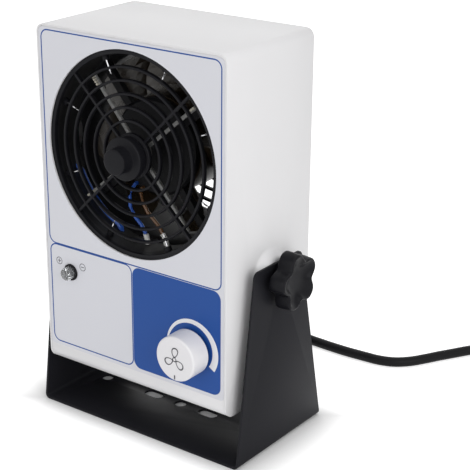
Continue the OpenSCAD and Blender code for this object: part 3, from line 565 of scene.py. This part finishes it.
@dataclass
class PowerCord:
    """Mains cord: lead from the gland, six-turn coil in three layers, and tail to the plug."""

    diameter: float = 6.8
    coil_centre: tuple[float, float] = (-28.0, 99.0)
    inner: float = 30.8
    pitch: float = 6.85
    lead: tuple[tuple[float, float, float], ...] = (
        (-60, 63.2, 44), (-60, 66, 44), (-60.2, 72, 43.2), (-60.6, 79, 41.2), (-61.4, 85.6, 38),
        (-62, 92, 34.2), (-62, 98, 30), (-61, 104, 25.8), (-59, 110, 22.2), (-55.6, 115.4, 19.2), (-51, 120.4, 17.5))
    tail: tuple[tuple[float, float, float], ...] = (
        (1, 134, 3.4), (8.6, 131.9, 3.4), (16.6, 131, 3.4), (26, 130.4, 3.4), (36, 130, 3.4), (48, 130, 3.4),
        (61, 130.8, 3.4), (73, 132, 3.4), (83, 136, 3.4), (91, 143.6, 3.4), (97, 153, 3.4), (102, 162, 3.4),
        (108, 172, 3.4), (115, 183, 3.6), (123, 192, 4.4), (134, 198.4, 6.4), (146, 200, 9), (153, 200, 10),
        (156, 200, 10))

    @staticmethod
    def ease(s: np.ndarray) -> np.ndarray:
        """Return the smooth step s * s * (3 - 2s) of values between 0 and 1."""
        return s * s * (3 - 2 * s)

    def coil(self) -> np.ndarray:
        """Return the coil's centre line: radius and height are smooth functions of the turns made.

        The top layer grows outwards for two turns, drops a layer over a quarter turn, the middle one
        shrinks for two, drops again on the inside, and the bottom one grows outwards to the tail.
        """
        start, leave = 124.0, 60.0
        turns = 6 + (start - leave) / 360
        t = np.linspace(0, turns, int(turns * 36) + 1)
        drop = 0.25
        run = (turns - 2 * drop) / 3
        knots = np.cumsum([0, run, drop, run, drop, run])
        low, high = self.inner, self.inner + 2 * self.pitch
        radius = np.interp(t, knots, [low, high, high, low, low, high])
        r = self.diameter / 2
        first = np.clip((t - knots[1]) / drop, 0, 1)
        second = np.clip((t - knots[3]) / drop, 0, 1)
        height = r + self.diameter * (2 - self.ease(first) - self.ease(second))
        a = np.radians(start - 360 * t)
        x = self.coil_centre[0] + radius * np.cos(a)
        y = self.coil_centre[1] + radius * np.sin(a)
        return np.stack([x, y, height], 1)

    def build(self) -> None:
        route = np.vstack([np.array(self.lead, float), self.coil(), np.array(self.tail, float)])
        path = smooth_path(route, 2.2)
        cord = tube_mesh("power_cord", path, self.diameter / 2)
        CORD_BLACK.dress(cord)
        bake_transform(cord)
        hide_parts("cord_lead", "cord_coil", "cord_tail")


# ---------------------------------------------------------------- printed panel


@dataclass
class PanelPrint:
    """Lines, boxes and marks printed on the front film."""

    front: float = -46.53
    line: float = 0.8
    edge: float = 67.3
    base: float = 32.0

    def outline(self, x0: float, z0: float, x1: float, z1: float, r: float) -> np.ndarray:
        """Return the outline of a rounded rectangle.

        Args:
            x0: left side.
            z0: bottom side.
            x1: right side.
            z1: top side.
            r: corner radius.
        Returns:
            An (n, 2) array of (x, z) points.
        """
        pts: list[tuple[float, float]] = []
        corners = ((x0 + r, z0 + r, 180), (x1 - r, z0 + r, 270), (x1 - r, z1 - r, 0), (x0 + r, z1 - r, 90))
        for cx, cz, a in corners:
            pts += arc((cx, cz), r, a, a + 90, 8)
        return np.array(pts)

    def place(self, name: str, outline: np.ndarray, finish: Finish, faces: list, body: Body = Body.HOUSING,
              y: float | None = None) -> bpy.types.Object:
        """Lay a flat figure on the film and dress it.

        Args:
            name: the print's name.
            outline: its (x, z) points.
            finish: the ink.
            faces: indices of each face's corners.
            body: the body that it rides on.
            y: the plane that it lies in; the film's front when left out.
        Returns:
            The printed figure.
        """
        depth = np.full(len(outline), self.front if y is None else y)
        obj = make_object(name, np.stack([outline[:, 0], depth, outline[:, 1]], 1), faces)
        if obj.data.polygons[0].normal.y > 0:
            obj.data.flip_normals()
        finish.dress(obj)
        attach(obj, body.value)
        return obj

    def strip(self, name: str, outer: np.ndarray, inner: np.ndarray, finish: Finish, **where) -> None:
        """Fill the band between two outlines.

        Args:
            name: the print's name.
            outer: outer outline.
            inner: inner outline, with as many points.
            finish: the ink.
            **where: body and plane, as place takes them.
        """
        n = len(outer)
        faces = [[i, (i + 1) % n, n + (i + 1) % n, n + i] for i in range(n)]
        self.place(name, np.vstack([outer, inner]), finish, faces, **where)

    def frame_line(self, name: str, x0: float, z0: float, x1: float, z1: float, r: float) -> None:
        """Print a rounded frame of the line's width, centred on the given rectangle."""
        h = self.line / 2
        self.strip(name, self.outline(x0 - h, z0 - h, x1 + h, z1 + h, r + h),
                   self.outline(x0 + h, z0 + h, x1 - h, z1 - h, r - h), PRINT_BLUE)

    def ring(self, name: str, cx: float, cz: float, r: float, w: float, finish: Finish) -> None:
        """Print a circle of line width w."""
        outer, inner = (np.array(arc((cx, cz), q, 0, 351, 39)) for q in (r + w / 2, r - w / 2))
        self.strip(name, outer, inner, finish)

    def bar(self, name: str, cx: float, cz: float, length: float, w: float, upright: bool) -> None:
        """Print a short straight stroke."""
        a, b = (w / 2, length / 2) if upright else (length / 2, w / 2)
        pts = np.array([[cx - a, cz - b], [cx + a, cz - b], [cx + a, cz + b], [cx - a, cz + b]])
        self.place(name, pts, PRINT_DARK, [[0, 1, 2, 3]])

    def crescent(self, cx: float, cz: float) -> None:
        """Print the speed scale: an arc whose width fades from its thick end to its thin one."""
        a = np.radians(np.linspace(-32, 215, 90))
        outer = 19.4
        width = 4.7 * (1 - np.linspace(0, 1, 90)) ** 0.75
        rim = np.stack([cx + outer * np.cos(a), cz + outer * np.sin(a)], 1)
        inner = np.stack([cx + (outer - width) * np.cos(a), cz + (outer - width) * np.sin(a)], 1)
        faces = [[i, i + 1, 91 + i, 90 + i] for i in range(89)]
        self.place("print_speed_scale", np.vstack([rim, inner]), PRINT_WHITE, faces, y=self.front - 0.04)

    def build(self) -> None:
        """Print everything on the panel."""
        b = self.base
        self.frame_line("print_upper_frame", -self.edge, b + 83, self.edge, b + 218.7, 5)
        self.frame_line("print_lower_left_frame", -67.0, b + 15.1, -0.3, b + 82.3, 5)
        box = self.outline(0.3, b + 14.8, 67.2, b + 82.3, 5.6)
        self.place("print_blue_box", box, PRINT_BLUE, [list(range(len(box)))])
        self.crescent(46.1, b + 40.1)
        for name, x in (("plus", -60.0), ("minus", -40.4)):
            self.ring("print_lamp_" + name, x, b + 71.5, 2.3, 0.4, PRINT_DARK)
            self.bar(f"print_lamp_{name}_bar", x, b + 71.5, 2.8, 0.45, False)
        self.bar("print_lamp_plus_upright", -60.0, b + 71.5, 2.8, 0.45, True)
        LOG.info("panel prints")


# ---------------------------------------------------------------- controls


@dataclass
class SpeedKnob:
    """White speed knob with a rounded edge and a fan mark on its face."""

    x: float = 46.1
    z: float = 71.9
    radius: float = 14.2
    base: float = -49.1
    length: float = 14.4

    def build(self) -> None:
        """Revolve the knob and print its fan mark and index."""
        r, h = self.radius, self.length
        profile = ([(0, 3), (6.6, 3), (6.6, 0), (r - 0.5, 0)] + arc((r - 0.5, 0.5), 0.5, -90, 0, 4)
                   + [(r, h / 2)] + arc((r - 1.4, h - 1.4), 1.4, 0, 90, 8)
                   + [(r * 0.5, h + 0.18), (0, h + 0.25)])
        knob = revolve("speed_knob_body", profile, (self.x, self.base, self.z), (0, -1, 0), 128)
        KNOB_WHITE.dress(knob)
        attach(knob, Body.DIAL.value)
        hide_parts("speed_knob")
        printer = PanelPrint()
        face = self.base - h - 0.32
        for k in range(3):
            a = np.radians(np.linspace(0, 360, 40, endpoint=False))
            lobe_r = np.array([3.3, 2.5])
            turn = np.radians(90 + 120 * k)
            rings = []
            for q in lobe_r:
                u = 4.5 + q * np.cos(a)
                v = 0.72 * q * np.sin(a) * (1 + 0.3 * np.cos(a)) - 0.1 * (u - 1)
                rings.append(np.stack([self.x + u * np.cos(turn) - v * np.sin(turn),
                                       self.z + u * np.sin(turn) + v * np.cos(turn)], 1))
            printer.strip(f"knob_fan_blade_{k}", rings[0], rings[1], PRINT_DARK, body=Body.DIAL, y=face)
        hub = [np.array(arc((self.x, self.z), q, 0, 345, 23)) for q in (1.5, 0.95)]
        printer.strip("knob_fan_hub", hub[0], hub[1], PRINT_DARK, body=Body.DIAL, y=face)
        tick = np.array([[-0.42, -12.9], [0.42, -12.9], [0.42, -10.2], [-0.42, -10.2]]) + [self.x, self.z]
        printer.place("knob_index", tick, PRINT_DARK, [[0, 1, 2, 3]], Body.DIAL, face + 0.12)
        LOG.info("speed knob")


@dataclass
class StarKnob:
    """Five-lobed hand knob with a dished face."""

    side: int
    body: Body
    node: str
    lobes: int = 5
    pivot: tuple[float, float] = (-4.0, 113.5)
    collar: float = 79.55
    lobe_angle: float = 29.0

    def build(self) -> None:
        """Revolve the knob's profile and press the flutes in where the radius is large.

        The radius is scaled by 1 - d * (1 - cos(lobes * a)) / 2 to a power, d fading out in the dish.
        """
        profile = [(0, 0.02), (8.1, 0.02), (8.4, 0.4), (9.1, 3.7), (12.6, 3.85), (17.4, 4.05), (18.0, 4.4),
                   (18.2, 5.2), (18.0, 9.0), (17.7, 12.6), (17.5, 13.7), (17.1, 14.3), (16.5, 14.5), (15.9, 14.4),
                   (13.2, 13.0), (10.4, 11.8), (7.6, 11.0), (5.0, 10.7), (2.4, 10.6), (0, 10.6)]
        r = np.array(profile)[:, 0]
        depth = 0.27 * np.clip((r - 8.6) / 5.0, 0, 1)

        def flutes(angle: np.ndarray, place: np.ndarray) -> np.ndarray:
            """Return the factor on the radius at each angle and ring."""
            wave = 0.5 - 0.5 * np.cos(self.lobes * (angle - self.phase()))
            return 1 - depth[:, None] * wave**1.5

        centre = (self.side * self.collar, *self.pivot)
        knob = revolve(self.node + "_grip", profile, centre, (self.side, 0, 0), 240, flutes, 50)
        STAR_BLACK.dress(knob)
        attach(knob, self.body.value)
        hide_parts(self.node)
        LOG.info("%s", self.node)

    def phase(self) -> float:
        """Return the angle of a lobe's tip in radians, mirrored on the left side."""
        return math.radians(self.side * self.lobe_angle)


@dataclass
class IndicatorLamp:
    """Domed clear lens in its black bezel."""

    x: float = -50.2
    z: float = 98.0

    def build(self) -> None:
        """Revolve the lens with a stepped, faceted crown."""
        profile = [(0, -5.9), (3.48, -5.9), (3.48, 0.62), (4.1, 0.62), (4.15, 4.6)]
        profile += arc((2.6, 4.9), 1.5, 0, 80, 8) + [(1.2, 6.75), (0, 6.85)]

        def ridges(angle: np.ndarray, place: np.ndarray) -> np.ndarray:
            """Return the factor on the radius: twelve shallow flutes round the lens's side."""
            return 1 - 0.035 * (0.5 - 0.5 * np.cos(12 * angle)) * (place > 0.2)

        lens = revolve("lamp_lens_dome", profile, (self.x, -46.5, self.z), (0, -1, 0), 96, ridges)
        LENS.dress(lens)
        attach(lens, Body.HOUSING.value)
        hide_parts("lamp_lens")
        LOG.info("indicator lamp")


@dataclass
class CleanerKnob:
    """Stepped knob in front of the grille's hub."""

    base: float = -47.35
    z: float = 183.4

    def build(self) -> None:
        """Revolve the flange and the cap, and add the shaft to the arms."""
        profile = ([(0, -5.5), (2.49, -5.5), (2.49, 0), (12.8, 0)] + arc((12.8, 0.5), 0.5, -90, 0, 3)
                   + arc((12.5, 4.5), 0.8, 0, 90, 4) + [(9.2, 5.4), (8.3, 5.7), (8.1, 6.4)]
                   + arc((6.9, 12.5), 1.0, 5, 90, 6) + [(3, 13.55), (0, 13.5)])
        knob = revolve("cleaner_hand_knob", profile, (0, self.base, self.z), (0, -1, 0), 96)
        GRILLE_BLACK.dress(knob)
        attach(knob, Body.CLEANER.value)
        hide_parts("cleaner_knob")
        LOG.info("cleaner knob")


# ---------------------------------------------------------------- assembly


def dress_nodes() -> None:
    """Give every CAD node its finish, and the large ones rounded edges."""
    for node, finish in NODE_FINISHES.items():
        finish.dress(NODES[node])
    for node, width in SOFT_EDGES.items():
        NODE_FINISHES[node].dress(soften(node, width))
    LOG.info("%d nodes dressed", len(NODE_FINISHES))


def main() -> None:
    """Build the studio and each sub-assembly in order."""
    logging.basicConfig(level=logging.INFO, format="%(name)s: %(message)s")
    Studio().build()
    dress_nodes()
    parts = [PowerCord(), PanelPrint(), SpeedKnob(), StarKnob(1, Body.RIGHT, "right_tilt_knob"),
             StarKnob(-1, Body.LEFT, "left_tilt_knob"), IndicatorLamp(), CleanerKnob()]
    for part in parts:
        part.build()


if __name__ == "__main__":
    main()
